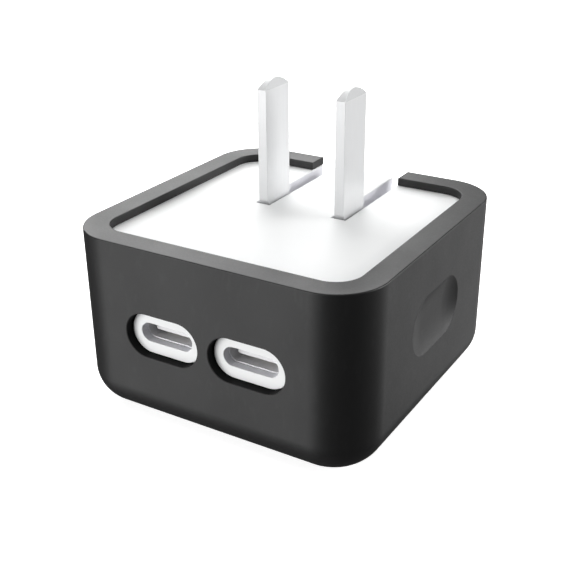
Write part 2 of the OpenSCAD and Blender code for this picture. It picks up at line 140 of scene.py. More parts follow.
def rod(name: str, radius: float, start: Point, end: Point, sides: int = 48) -> Piece:
    """Adds a round rod between the middles of its two ends.

    Args:
        name: The piece's name.
        radius: Its radius, in millimetres.
        start: The middle of one end, in millimetres.
        end: The middle of the other end.
        sides: How many flats stand for the round.

    Returns:
        The rod.
    """
    a, b = Vector(start) * MM, Vector(end) * MM
    turn = (b - a).to_track_quat("Z", "Y").to_euler()
    bpy.ops.mesh.primitive_cylinder_add(
        vertices=sides, radius=radius * MM, depth=(b - a).length, location=(a + b) / 2, rotation=turn)
    return settle(name)


def pick(piece: Piece, kind: str, find: Callable[[bmesh.types.BMesh], list]) -> None:
    """Opens a piece in edit mode with some of its edges or faces selected.

    Args:
        piece: The piece.
        kind: EDGE or FACE.
        find: Gives the wanted ones from the piece's mesh.

    Raises:
        ValueError: None is wanted.
    """
    take(piece)
    bpy.ops.object.mode_set(mode="EDIT")
    bpy.ops.mesh.select_mode(type=kind)
    bpy.ops.mesh.select_all(action="DESELECT")
    mesh = bmesh.from_edit_mesh(piece.data)
    found = find(mesh)
    if not found:
        raise ValueError(f"{piece.name}: no {kind.lower()} passes the test")
    for item in found:
        item.select_set(True)
    bmesh.update_edit_mesh(piece.data)


def edit_edges(piece: Piece, test: EdgeTest) -> None:
    """Selects the edges whose two ends, in millimetres, pass a test, in edit mode."""
    pick(piece, "EDGE", lambda mesh: [e for e in mesh.edges if test(e.verts[0].co / MM, e.verts[1].co / MM)])


def edit_faces(piece: Piece, test: FaceTest) -> None:
    """Selects the faces whose middle, in millimetres, and normal pass a test, in edit mode."""
    pick(piece, "FACE", lambda mesh: [f for f in mesh.faces if test(f.calc_center_median() / MM, f.normal)])


def edit_all(piece: Piece) -> None:
    """Opens a piece in edit mode with everything selected."""
    take(piece)
    bpy.ops.object.mode_set(mode="EDIT")
    bpy.ops.mesh.select_all(action="SELECT")


def leave_edit() -> None:
    """Goes back to object mode."""
    bpy.ops.object.mode_set(mode="OBJECT")


def round_edges(piece: Piece, test: EdgeTest, width: float, steps: int) -> None:
    """Rounds the edges that pass a test.

    Args:
        piece: The piece.
        test: Says of an edge's two ends, in millimetres, whether it is wanted.
        width: Radius of the rounding, in millimetres.
        steps: How many flats stand for the round.
    """
    edit_edges(piece, test)
    bpy.ops.mesh.bevel(offset=width * MM, segments=steps, profile=0.5, affect="EDGES", clamp_overlap=False)
    leave_edit()


def sink_face(piece: Piece, test: FaceTest, margin: float, move: Point) -> None:
    """Insets the faces that pass a test and draws the inner part along.

    Args:
        piece: The piece.
        test: Says of a face's middle and normal whether it is wanted.
        margin: Width of the rim that stays, in millimetres, or 0.
        move: Where the inner part goes, in millimetres.
    """
    edit_faces(piece, test)
    if margin:
        bpy.ops.mesh.inset(thickness=margin * MM, use_even_offset=True)
    bpy.ops.mesh.extrude_region_move(
        TRANSFORM_OT_translate={"value": [v * MM for v in move], "orient_type": "GLOBAL"})
    leave_edit()


def slice_off(piece: Piece, point: Point, normal: Point) -> None:
    """Cuts away what lies on the far side of a plane and closes the cut.

    Args:
        piece: The piece.
        point: A point of the plane, in millimetres.
        normal: The plane's normal, towards what is cut away.
    """
    edit_all(piece)
    bpy.ops.mesh.bisect(
        plane_co=Vector(point) * MM, plane_no=Vector(normal).normalized(), use_fill=True, clear_outer=True,
        threshold=KEEN * MM)
    leave_edit()


def work(piece: Piece, kind: str, **settings: object) -> None:
    """Runs one modifier on a piece and applies it.

    Args:
        piece: The piece.
        kind: The modifier's type.
        **settings: Its settings.
    """
    take(piece)
    step = piece.modifiers.new("step", kind)
    for key, value in settings.items():
        setattr(step, key, value)
    bpy.ops.object.modifier_apply(modifier=step.name)


def combine(piece: Piece, other: Piece, how: Cut) -> None:
    """Cuts, joins or crosses a piece with another, which is used up.

    Args:
        piece: The piece that changes.
        other: The solid it meets.
        how: What the other does to it.
    """
    work(piece, "BOOLEAN", operation=how.value, solver="EXACT", object=other)
    mesh = other.data
    bpy.data.objects.remove(other)
    bpy.data.meshes.remove(mesh)


def soften(piece: Piece, width: float, angle: float = 40) -> None:
    """Breaks every edge of a piece that is sharper than an angle with a small rounding.

    Args:
        piece: The piece.
        width: Radius of the rounding, in millimetres.
        angle: The angle, in degrees.
    """
    work(piece, "BEVEL", width=width * MM, segments=3, limit_method="ANGLE", angle_limit=math.radians(angle))


def shade(piece: Piece, angle: float) -> None:
    """Smooths a piece where its faces meet at less than an angle, with flat faces kept flat.

    Args:
        piece: The piece.
        angle: The angle, in degrees.
    """
    take(piece)
    bpy.ops.object.shade_smooth_by_angle(angle=math.radians(angle))
    work(piece, "WEIGHTED_NORMAL", keep_sharp=True, weight=100)


def copy_piece(piece: Piece, name: str, move: Point = (0, 0, 0)) -> Piece:
    """Copies a piece with its own mesh.

    Args:
        piece: The piece to copy.
        name: The copy's name.
        move: How far the copy moves, in millimetres.

    Returns:
        The copy, with its place in its mesh.
    """
    take(piece)
    bpy.ops.object.duplicate()
    bpy.context.object.location = Vector(move) * MM
    return settle(name)


def pillow(name: str, half: float, low: float, high: float, corner: float, foot: float = 0,
           head: float = 0, steps: int = 20) -> Piece:
    """Makes a square block with round upright corners and rolled lower and upper edges.

    Args:
        name: The piece's name.
        half: Half its width, in millimetres.
        low: Height of its underside.
        high: Height of its top.
        corner: Radius of the upright corners.
        foot: Radius of the lower edge, or 0.
        head: Radius of the upper edge, or 0.
        steps: How many flats stand for an upright corner.

    Returns:
        The block.
    """
    piece = block(name, (-half, -half, low), (half, half, high))
    round_edges(piece, lambda a, b: abs(a.z - b.z) > HAIR, corner, steps)
    for level, radius in ((low, foot), (high, head)):
        if radius:
            flats = max(5, round(radius * 4))
            round_edges(piece, lambda a, b: max(abs(a.z - level), abs(b.z - level)) < HAIR, radius, flats)
    return piece


def oblong(name: str, width: float, height: float, centre: Point, depth: float,
           steps: int = 20) -> Piece:
    """Makes a bar along Y whose section is an oblong with round ends.

    Args:
        name: The piece's name.
        width: Width of the section, in millimetres.
        height: Height of the section.
        centre: Middle of the bar.
        depth: Length of the bar.
        steps: How many flats stand for a quarter turn.

    Returns:
        The bar.
    """
    reach = Vector((width, depth, height)) / 2
    piece = block(name, Vector(centre) - reach, Vector(centre) + reach)
    round_edges(piece, lambda a, b: abs(a.y - b.y) > HAIR, height / 2 - SLIVER, steps)
    edit_all(piece)
    bpy.ops.mesh.remove_doubles(threshold=HAIR * MM)
    leave_edit()
    return piece


def on_oblong(v: Vector, x: float, z: float, size: tuple[float, float]) -> bool:
    """Tells whether a point, seen along Y, lies on the outline of an oblong or of its mirror image.

    Args:
        v: The point, in millimetres.
        x: The oblong's middle, from the mirror plane.
        z: The height of its middle.
        size: Its width and height.

    Returns:
        Whether the point is on the outline.
    """
    radius = size[1] / 2
    across = max(0.0, abs(abs(v.x) - x) - size[0] / 2 + radius)
    return abs(math.hypot(across, v.z - z) - radius) < NEAR


# ---- finishes


def plant(tree: bpy.types.NodeTree, kind: str, inputs: dict[str | int, object],
          **settings: object) -> bpy.types.Node:
    """Adds a node to a tree.

    Args:
        tree: The tree.
        kind: The node's type.
        inputs: By socket, a value to set or an output to link.
        **settings: Values of the node's own properties.

    Returns:
        The node.
    """
    node = tree.nodes.new(kind)
    for key, value in settings.items():
        setattr(node, key, value)
    for key, value in inputs.items():
        if isinstance(value, bpy.types.NodeSocket):
            tree.links.new(value, node.inputs[key])
        else:
            node.inputs[key].default_value = value
    return node


class Graph:
    """The nodes of one material round its Principled shader."""

    def __init__(self, name: str) -> None:
        """Starts an empty material.

        Args:
            name: The material's name.
        """
        self.material = bpy.data.materials.new(name)
        self.material.use_nodes = True
        self.tree = self.material.node_tree
        self.tree.nodes.clear()
        self.place = plant(self.tree, "ShaderNodeTexCoord", {}).outputs["Object"]

    def finish(self, inputs: dict[str, object]) -> bpy.types.Material:
        """Adds the shader.

        Args:
            inputs: By socket of the shader, a constant or a pattern.

        Returns:
            The material.
        """
        shader = plant(self.tree, "ShaderNodeBsdfPrincipled", inputs)
        plant(self.tree, "ShaderNodeOutputMaterial", {"Surface": shader.outputs["BSDF"]})
        return self.material

    def noise(self, grain: float, detail: float = 3, scale: Point = (1, 1, 1)) -> Socket:
        """Adds a noise pattern.

        Args:
            grain: Size of its spots, in millimetres.
            detail: How many finer layers it has.
            scale: How it is squeezed along each axis.

        Returns:
            Its value, about 0.3 to 0.7.
        """
        mapping = plant(self.tree, "ShaderNodeMapping", {"Scale": scale, "Vector": self.place})
        return plant(self.tree, "ShaderNodeTexNoise", {
            "Scale": 1 / (grain * MM), "Detail": detail, "Vector": mapping.outputs["Vector"]}).outputs["Fac"]

    def spread(self, source: Socket, low: float, high: float, start: float = 0.3, end: float = 0.7) -> Socket:
        """Maps a value from one range to another, held at the ends.

        Args:
            source: The value.
            low: What start becomes.
            high: What end becomes.
            start: Start of the value's range.
            end: End of the value's range.

        Returns:
            The mapped value.
        """
        return plant(self.tree, "ShaderNodeMapRange", {
            "Value": source, "From Min": start, "From Max": end, "To Min": low, "To Max": high,
        }).outputs["Result"]

    def blend(self, amount: Socket, first: Colour | Socket, second: Colour) -> Socket:
        """Mixes two colours by an amount from 0 to 1.

        Args:
            amount: How much of the second shows.
            first: The first colour, or a socket that gives it.
            second: The second colour.

        Returns:
            The mixed colour.
        """
        start = (*first, 1) if isinstance(first, tuple) else first
        return plant(self.tree, "ShaderNodeMix", {0: amount, 6: start, 7: (*second, 1)},
                     data_type="RGBA").outputs[2]

    def math(self, how: str, first: Socket, second: Socket | float = 0) -> Socket:
        """Works out one value from two.

        Args:
            how: ADD, SUBTRACT, MULTIPLY or ABSOLUTE, which takes the first value alone.
            first: The first value.
            second: The second value.

        Returns:
            The result.
        """
        return plant(self.tree, "ShaderNodeMath", {0: first, 1: second}, operation=how).outputs[0]

    def relief(self, *layers: tuple[Socket, float]) -> Socket:
        """Stacks bumps on the surface.

        Args:
            *layers: Each bump's pattern and its depth in millimetres.

        Returns:
            The bumped normal.
        """
        below: dict[str, object] = {}
        for pattern, depth in layers:
            bump = plant(self.tree, "ShaderNodeBump", {
                "Strength": 1, "Distance": depth * MM, "Height": pattern, **below})
            below = {"Normal": bump.outputs["Normal"]}
        return below["Normal"]


@dataclass(frozen=True)
class Finish:
    """A surface with mottled colour, uneven gloss and a fine grain."""

    slot: str
    colour: Colour
    shade_colour: Colour
    gloss: tuple[float, float] = (0.4, 0.5)
    grain: float = 0.25
    grain_depth: float = 0.004
    mottle: float = 6
    metallic: float = 0
    specular: float = 0.5

    def build(self) -> bpy.types.Material:
        """Makes the material."""
        graph = Graph(self.slot)
        colour, rough, bumps = self.dress(graph)
        return graph.finish({"Metallic": self.metallic, "Specular IOR Level": self.specular,
                             "Base Color": colour, "Roughness": rough, "Normal": graph.relief(*bumps)})

    def tone(self, graph: Graph, cloud: Socket) -> Socket:
        """Gives the colour, drifting to its shade with the clouds."""
        return graph.blend(graph.spread(cloud, 0, 1), self.colour, self.shade_colour)

    def sheen(self, graph: Graph, cloud: Socket, speck: Socket, reach: float = 0.3) -> Socket:
        """Gives the roughness, uneven with clouds and specks whose sum runs from 1 - reach to 1 + reach."""
        return graph.spread(graph.math("ADD", cloud, speck), *self.gloss, 1 - reach, 1 + reach)

    def dress(self, graph: Graph) -> Dress:
        """Gives cloudy colour, cloudy gloss and a fine grain.

        Args:
            graph: The material's nodes.

        Returns:
            The colour, the roughness and the bumps.
        """
        cloud, speck = graph.noise(self.mottle, 4), graph.noise(self.grain, 2)
        return self.tone(graph, cloud), self.sheen(graph, cloud, speck), [(speck, self.grain_depth)]


@dataclass(frozen=True)
class SleeveRubber(Finish):
    """Matt silicone: a fine dusty grain, soft clouds, and upright corners that are glossier and darkened with
    painted shade.
    """

    # Band of |X| + |Y| over which the upright corners get painted shade and less roughness; the next two set
    # how much painted shade and how dark.
    shade_and_gloss_band: tuple[float, float] = (38.5, 42.4)
    painted_shade_amount: float = 0.5
    painted_shade_factor: float = 0.6
    polish_gloss: float = 0.06
    lint_grain: float = 0.9
    lint_drift: Point = (1, 1, 0.35)
    lint_amount: float = 0.22
    lint_colour: Colour = (0.03, 0.03, 0.0305)
    swell: tuple[float, float] = (2.2, 0.012)

    def dress(self, graph: Graph) -> Dress:
        """Adds the sleeve's grain, clouds and lint, and at the upright corners, which |X| + |Y| finds,
        painted shade and less roughness.

        Args:
            graph: The material's nodes.

        Returns:
            The colour, the roughness and the bumps.
        """
        cloud, speck = graph.noise(self.mottle, 5), graph.noise(self.grain, 2)
        lint = graph.spread(graph.noise(self.lint_grain, 3, self.lint_drift), 0, self.lint_amount, 0.56, 0.74)
        split = plant(graph.tree, "ShaderNodeSeparateXYZ", {0: graph.place})
        reach = graph.math("ADD", *(graph.math("ABSOLUTE", split.outputs[axis]) for axis in "XY"))
        # Mask of the upright corners: painted shade in the colour and less roughness.
        corner = graph.spread(reach, 0, 1, *(edge * MM for edge in self.shade_and_gloss_band))
        colour = graph.blend(lint, self.tone(graph, cloud), self.lint_colour)
        # Painted shade colour for the corners: the shade colour darkened further.
        painted_shade_colour = tuple(c * self.painted_shade_factor for c in self.shade_colour)
        rough = graph.math("SUBTRACT", self.sheen(graph, cloud, speck),
                           graph.math("MULTIPLY", corner, self.polish_gloss))
        coarse, depth = self.swell
        return (graph.blend(graph.math("MULTIPLY", corner, self.painted_shade_amount), colour, painted_shade_colour), rough,
                [(graph.noise(coarse, 2), depth), (speck, self.grain_depth)])


@dataclass(frozen=True)
class GlossMoulding(Finish):
    """Satin white moulding: hardly any colour change, faint flow lines and hair scratches."""

    scratch_grain: float = 0.35
    scratch_drift: Point = (1, 0.04, 1)
    swell: tuple[float, float] = (9, 0.02)

    def dress(self, graph: Graph) -> Dress:
        """Adds the moulding's flow, scratches and grain.

        Args:
            graph: The material's nodes.

        Returns:
            The colour, the roughness and the bumps.
        """
        cloud = graph.noise(self.mottle, 3)
        scratch = graph.noise(self.scratch_grain, 2, self.scratch_drift)
        coarse, depth = self.swell
        return (self.tone(graph, cloud), self.sheen(graph, cloud, scratch, 0.25),
                [(graph.noise(coarse, 1), depth), (graph.noise(self.grain, 2), self.grain_depth)])


@dataclass(frozen=True)
class Plating(Finish):
    """Plated or rolled metal with fine draw lines along one axis."""

    lines: Point = (1, 1, 0.03)
    line_amount: float = 0.25
    line_shade: float = 0.86

    def dress(self, graph: Graph) -> Dress:
        """Adds draw lines and a cloudy tone.

        Args:
            graph: The material's nodes.

        Returns:
            The colour, the roughness and the bumps.
        """
        cloud, draw = graph.noise(self.mottle, 4), graph.noise(self.grain, 3, self.lines)
        dark = tuple(c * self.line_shade for c in self.colour)
        colour = graph.blend(graph.spread(draw, 0, self.line_amount), self.tone(graph, cloud), dark)
        return colour, self.sheen(graph, cloud, draw), [(draw, self.grain_depth)]


@dataclass(frozen=True)
class SolderMask(Finish):
    """Circuit board: green mask over raised copper tracks."""

    track: float = 3.2
    track_depth: float = 0.03

    def dress(self, graph: Graph) -> Dress:
        """Adds tracks, a woven ground and uneven gloss.

        Args:
            graph: The material's nodes.

        Returns:
            The colour, the roughness and the bumps.
        """
        bricks = plant(graph.tree, "ShaderNodeTexBrick", {
            "Scale": 1 / (self.track * MM), "Mortar Size": 0.045, "Mortar Smooth": 0.3, "Vector": graph.place,
        }, offset=0.37, squash=0.6, squash_frequency=3).outputs["Fac"]
        weave = graph.noise(self.grain, 2, (1, 0.2, 1))
        return (graph.blend(bricks, self.colour, self.shade_colour), graph.spread(weave, *self.gloss),
                [(bricks, self.track_depth), (weave, self.grain_depth)])


@dataclass(frozen=True)
class Wound(Finish):
    """Wire or tape wound in close turns: bands stacked along Z."""

    pitch: float = 0.5
    band_depth: float = 0.05
    groove_painted_shade: float = 0.3
    waver: float = 0.6

    def dress(self, graph: Graph) -> Dress:
        """Adds the turns, their varied tone, painted shade in the grooves between them, and their rounding.

        Args:
            graph: The material's nodes.

        Returns:
            The colour, the roughness and the bumps.
        """
        wave = plant(graph.tree, "ShaderNodeTexWave", {
            "Scale": 1 / (self.pitch * MM) / 3.2, "Distortion": self.waver, "Vector": graph.place,
        }, wave_profile="SIN", bands_direction="Z").outputs["Fac"]
        cloud = graph.noise(self.mottle, 3)
        dark = tuple(c * self.groove_painted_shade for c in self.shade_colour)
        # Painted shade darkens the grooves between the turns.
        colour = graph.blend(graph.spread(wave, 0.45, 0, 0, 0.35), self.tone(graph, cloud), dark)
        return (colour, graph.spread(cloud, *self.gloss),
                [(wave, self.band_depth), (graph.noise(self.grain, 2), self.grain_depth)])


FINISHES: tuple[Finish, ...] = (
    SleeveRubber("silicone", (0.0135, 0.0135, 0.0138), (0.0115, 0.0115, 0.0118), (0.43, 0.50), 0.22, 0.003, 8,
                 specular=0.35),
    # Darker, duller silicone for the window walls: painted shade in the recesses.
    Finish("silicone_window_shade", (0.007, 0.007, 0.0072), (0.006, 0.006, 0.0062), (0.62, 0.72), 0.15, 0.004, 3,
           specular=0.1),
    GlossMoulding("white_plastic", (0.92, 0.928, 0.926), (0.905, 0.915, 0.914), (0.42, 0.5), 0.3, 0.002, 12,
                  specular=0.12),
    # Darker, bluish white for the slot and hole walls: painted shade in the recesses.
    Finish("white_recess_shade", (0.84, 0.84, 0.87), (0.80, 0.80, 0.835), (0.50, 0.60), 0.4, 0.002, 3,
           specular=0.1),
    Plating("blade_metal", (0.71, 0.715, 0.72), (0.69, 0.695, 0.703), (0.36, 0.44), 0.12, 0.0012, 5,
            0.15, 0.4),
    # Darker metal for the tip's bevels: painted shade.
    Plating("blade_facet_shade", (0.50, 0.505, 0.51), (0.47, 0.475, 0.48), (0.36, 0.44), 0.12, 0.0012, 5,
            0.15, 0.4),
    Finish("black_plastic", (0.028, 0.028, 0.03), (0.022, 0.022, 0.024), (0.45, 0.58)),
    Finish("cradle_plastic", (0.74, 0.75, 0.75), (0.70, 0.71, 0.71), (0.42, 0.52)),
    Plating("pin_steel", (0.60, 0.61, 0.63), (0.52, 0.53, 0.55), (0.22, 0.34), 0.08, 0.001, 2, 1,
            lines=(0.05, 1, 1)),
    Plating("spring_bronze", (0.72, 0.47, 0.24), (0.60, 0.36, 0.17), (0.28, 0.42), 0.1, 0.001, 2, 1),
    Plating("socket_steel", (0.86, 0.86, 0.875), (0.82, 0.82, 0.84), (0.30, 0.42), 0.1, 0.001, 3, 0.2,
            lines=(1, 0.05, 1)),
    Finish("socket_insulator", (0.78, 0.78, 0.79), (0.74, 0.74, 0.75), (0.42, 0.52)),
    Plating("contact_gold", (0.82, 0.74, 0.56), (0.76, 0.67, 0.48), (0.18, 0.30), 0.05, 0.0005, 1, 1,
            lines=(1, 0.05, 1)),
    SolderMask("circuit_board", (0.035, 0.16, 0.085), (0.075, 0.24, 0.12), (0.30, 0.42), 0.2, 0.004),
    Finish("chip_black", (0.022, 0.022, 0.024), (0.03, 0.03, 0.032), (0.50, 0.66), 0.08, 0.003, 1.5),
    Finish("ferrite", (0.055, 0.055, 0.06), (0.085, 0.085, 0.09), (0.55, 0.75), 0.12, 0.012, 2),
    Finish("bobbin_plastic", (0.035, 0.04, 0.035), (0.05, 0.056, 0.05), (0.40, 0.52), 0.2, 0.003, 3),
    Wound("winding_tape", (0.78, 0.55, 0.09), (0.70, 0.47, 0.06), (0.16, 0.28), 0.3, 0.002, 3, pitch=1.8,
          band_depth=0.03),
    Wound("enamelled_copper", (0.60, 0.22, 0.07), (0.50, 0.16, 0.045), (0.20, 0.32), 0.2, 0.001, 2, 0.8,
          pitch=0.55),
    Finish("capacitor_sleeve", (0.025, 0.032, 0.085), (0.02, 0.026, 0.07), (0.22, 0.34), 0.5, 0.004, 5),
    Plating("capacitor_can", (0.74, 0.75, 0.76), (0.66, 0.67, 0.68), (0.24, 0.36), 0.1, 0.001, 3, 1),
    Finish("film_yellow", (0.72, 0.46, 0.07), (0.65, 0.40, 0.05), (0.28, 0.40), 0.6, 0.01, 4),
    Finish("ceramic_blue", (0.05, 0.16, 0.40), (0.04, 0.13, 0.33), (0.16, 0.28), 0.8, 0.02, 3),
    Finish("fuse_body", (0.44, 0.37, 0.28), (0.38, 0.31, 0.23), (0.25, 0.40), 0.3, 0.006, 2),
    Finish("inductor_grey", (0.16, 0.16, 0.165), (0.20, 0.20, 0.205), (0.50, 0.70), 0.1, 0.01, 1.5),
    Finish("pad_grey", (0.36, 0.42, 0.50), (0.33, 0.39, 0.47), (0.60, 0.75), 0.2, 0.008, 3),
    Plating("spreader_aluminium", (0.76, 0.77, 0.78), (0.70, 0.71, 0.72), (0.28, 0.42), 0.12, 0.002, 6, 1,
            lines=(0.03, 1, 1)),
    Finish("insulation", (0.80, 0.74, 0.60), (0.75, 0.68, 0.54), (0.35, 0.5), 0.4, 0.006, 4),
)


class Wardrobe:
    """The materials by the slot that they finish."""

    def __init__(self) -> None:
        """Makes every material once."""
        self.materials = {finish.slot: finish.build() for finish in FINISHES}

    def dress(self, piece: Piece, slot: str, body: Body, *nodes: str) -> None:
        """Gives a new piece its material and its body, and hides the CAD nodes it stands for.

        Args:
            piece: The piece.
            slot: The material slot it takes its finish from.
            body: The body it rides on.
            *nodes: The CAD nodes it replaces.
        """
        piece.data.materials.clear()
        piece.data.materials.append(self.materials[slot])
        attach(piece, body.value)
        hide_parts(*nodes)
        piece.data.calc_loop_triangles()
        LOG.info("%s: %d triangles, rides on %s", piece.name, len(piece.data.loop_triangles), body.value)

    def accent(self, piece: Piece, slot: str, test: FaceTest) -> None:
        """Gives some faces of a dressed piece a second finish.

        Args:
            piece: The piece.
            slot: The second finish's slot.
            test: Says of a face's middle, in millimetres, and its normal whether it gets that finish.
        """
        piece.data.materials.append(self.materials[slot])
        for face in piece.data.polygons:
            face.material_index = int(test(face.center / MM, face.normal))

    def dress_nodes(self) -> None:
        """Gives each CAD node that still shows the finish of its own slot."""
        for entry in frame["record"]["subparts"]:
            node = frame["nodes"][entry["node"]]
            for place in node.material_slots:
                place.material = self.materials[entry["material_slot"]]
            LOG.info("%s: finish %s", node.name, entry["material_slot"])


@dataclass
class Assembly:
    """A sub-assembly, with the finishes that it is dressed in."""

    wardrobe: Wardrobe


# ---- sleeve


@dataclass
class Sleeve(Assembly):
    """The soft sleeve: rolled foot, flat rim, rear gap, two windows and a finger dish on each side."""

    half: float = 23
    top: float = 27
    corner: float = 7.3
    foot: float = 5.4
    rim_edge: float = 0.18
    rim_width: float = 3.65
    mouth_ease: float = 0.2
    body_half: float = 21.3
    body_low: float = 1.7
    body_high: float = 25.8
    body_corner: float = 5.6
    body_foot: float = 3.7
    body_head: float = 0.45
    gap_half: float = 7.6
    gap_lap: float = 0.7
    gap_floor: float = 18.15
    gap_corner: float = 1.5
    window: tuple[float, float] = (11.8, 6.5)
    window_x: float = 6.75
    window_z: float = 14.2
    window_edge: float = 0.12
    dish: tuple[float, float, float] = (15.4, 8.8, 0.85)
    dish_z: float = 15.6

    def shell(self) -> Piece:
        """Makes the outer form and hollows it for the charger.

        Returns:
            The sleeve before its gap, windows and dishes.
        """
        piece = pillow("sleeve", self.half, 0, self.top, self.corner, self.foot, self.rim_edge, 26)
        hollow = pillow("hollow", self.body_half, self.body_low, self.body_high, self.body_corner,
                        self.body_foot, self.body_head)
        combine(piece, hollow, Cut.TAKE_AWAY)
        mouth_half = self.half - self.rim_width
        mouth_corner = self.corner - self.rim_width + self.mouth_ease
        mouth = pillow("mouth", mouth_half, self.body_high - 1, self.top + PAST, mouth_corner)
        combine(piece, mouth, Cut.TAKE_AWAY)

        def on_lip(a: Vector, b: Vector) -> bool:
            """Tells whether an edge is on the mouth's upper outline."""
            inside = max(abs(a.x), abs(a.y), abs(b.x), abs(b.y)) < mouth_half + HAIR
            return inside and min(a.z, b.z) > self.top - HAIR

        round_edges(piece, on_lip, self.rim_edge, 5)
        return piece

    def open_gap(self, piece: Piece) -> None:
        """Cuts the gap in the rear of the rim, with its two lower corners rounded.

        Args:
            piece: The sleeve.
        """
        wide = self.gap_half + self.gap_lap
        low = self.gap_floor
        cutter = block("gap", (-wide, self.body_half - 0.5, low), (wide, self.half + PAST, self.body_high))

        def is_lower(a: Vector, b: Vector) -> bool:
            """Tells whether an edge runs along Y at the gap's floor."""
            return abs(a.y - b.y) > HAIR and max(a.z, b.z) < low + HAIR

        round_edges(cutter, is_lower, self.gap_corner, 12)
        combine(piece, cutter, Cut.TAKE_AWAY)
        notch = block("notch", (-self.gap_half, self.half - 2 * self.rim_width, self.body_high - 1),
                      (self.gap_half, self.half + PAST, self.top + PAST))
        combine(piece, notch, Cut.TAKE_AWAY)

        def on_gap_edge(a: Vector, b: Vector) -> bool:
            """Tells whether an edge bounds the gap on the rim's top or the sleeve's back."""
            behind = all(v.y > self.half - HAIR and abs(v.x) < wide + HAIR and v.z > low - HAIR
                         for v in (a, b))
            above = all(abs(abs(v.x) - self.gap_half) < HAIR and v.z > self.top - HAIR for v in (a, b))
            return behind or above

        round_edges(piece, on_gap_edge, self.window_edge, 4)

    def open_windows(self, piece: Piece) -> None:
        """Cuts the window round each socket and breaks its outer edge.

        Args:
            piece: The sleeve.
        """
        for side in Side:
            centre = (side.value * self.window_x, -self.half, self.window_z)
            combine(piece, oblong("window", *self.window, centre, 2 * self.rim_width, 24), Cut.TAKE_AWAY)

        def on_window(a: Vector, b: Vector) -> bool:
            """Tells whether an edge is on a window's outer outline."""
            flush = max(a.y, b.y) < -self.half + HAIR
            return flush and a.x * b.x > 0 and all(
                on_oblong(v, self.window_x, self.window_z, self.window) for v in (a, b))

        round_edges(piece, on_window, self.window_edge, 4)

    def press_dishes(self, piece: Piece) -> None:
        """Presses the finger dish into each side.

        Args:
            piece: The sleeve.
        """
        length, height, depth = self.dish
        radius = ((height / 2) ** 2 + depth ** 2) / (2 * depth)
        run = (length - height) / 2
        for side in Side:
            x = side.value * (self.half - depth + radius)
            bpy.ops.mesh.primitive_uv_sphere_add(
                segments=192, ring_count=96, radius=radius * MM, location=(x * MM, 0, self.dish_z * MM),
                rotation=(math.pi / 2, 0, 0))
            cutter = settle("dish")
            for end in (-1, 1):
                edit_faces(cutter, lambda c, n: c.y * end > HAIR)
                bpy.ops.transform.translate(value=(0, end * run * MM, 0))
                leave_edit()
            combine(piece, cutter, Cut.TAKE_AWAY)

    def build(self) -> None:
        """Makes and dresses the sleeve."""
        piece = self.shell()
        self.open_gap(piece)
        self.open_windows(piece)
        self.press_dishes(piece)
        shade(piece, 20.5)
        self.wardrobe.dress(piece, "silicone", Body.CHARGER, "silicone_sleeve")
        # The window walls get the darker silicone: painted shade.
        self.wardrobe.accent(piece, "silicone_window_shade", self.gets_window_shade)

    def gets_window_shade(self, middle: Vector, normal: Vector) -> bool:
        """Tells whether a face lies on the wall of a window, which gets painted shade.

        Args:
            middle: The face's middle, in millimetres.
            normal: Its normal.

        Returns:
            Whether it does.
        """
        wide, tall = self.window
        inside = -(self.half - 2 * self.window_edge) < middle.y < -self.body_half and abs(normal.y) < 0.3
        beside = abs(abs(middle.x) - self.window_x) < wide / 2 + HAIR
        return inside and beside and abs(middle.z - self.window_z) < tall / 2 + HAIR


# ---- charger body


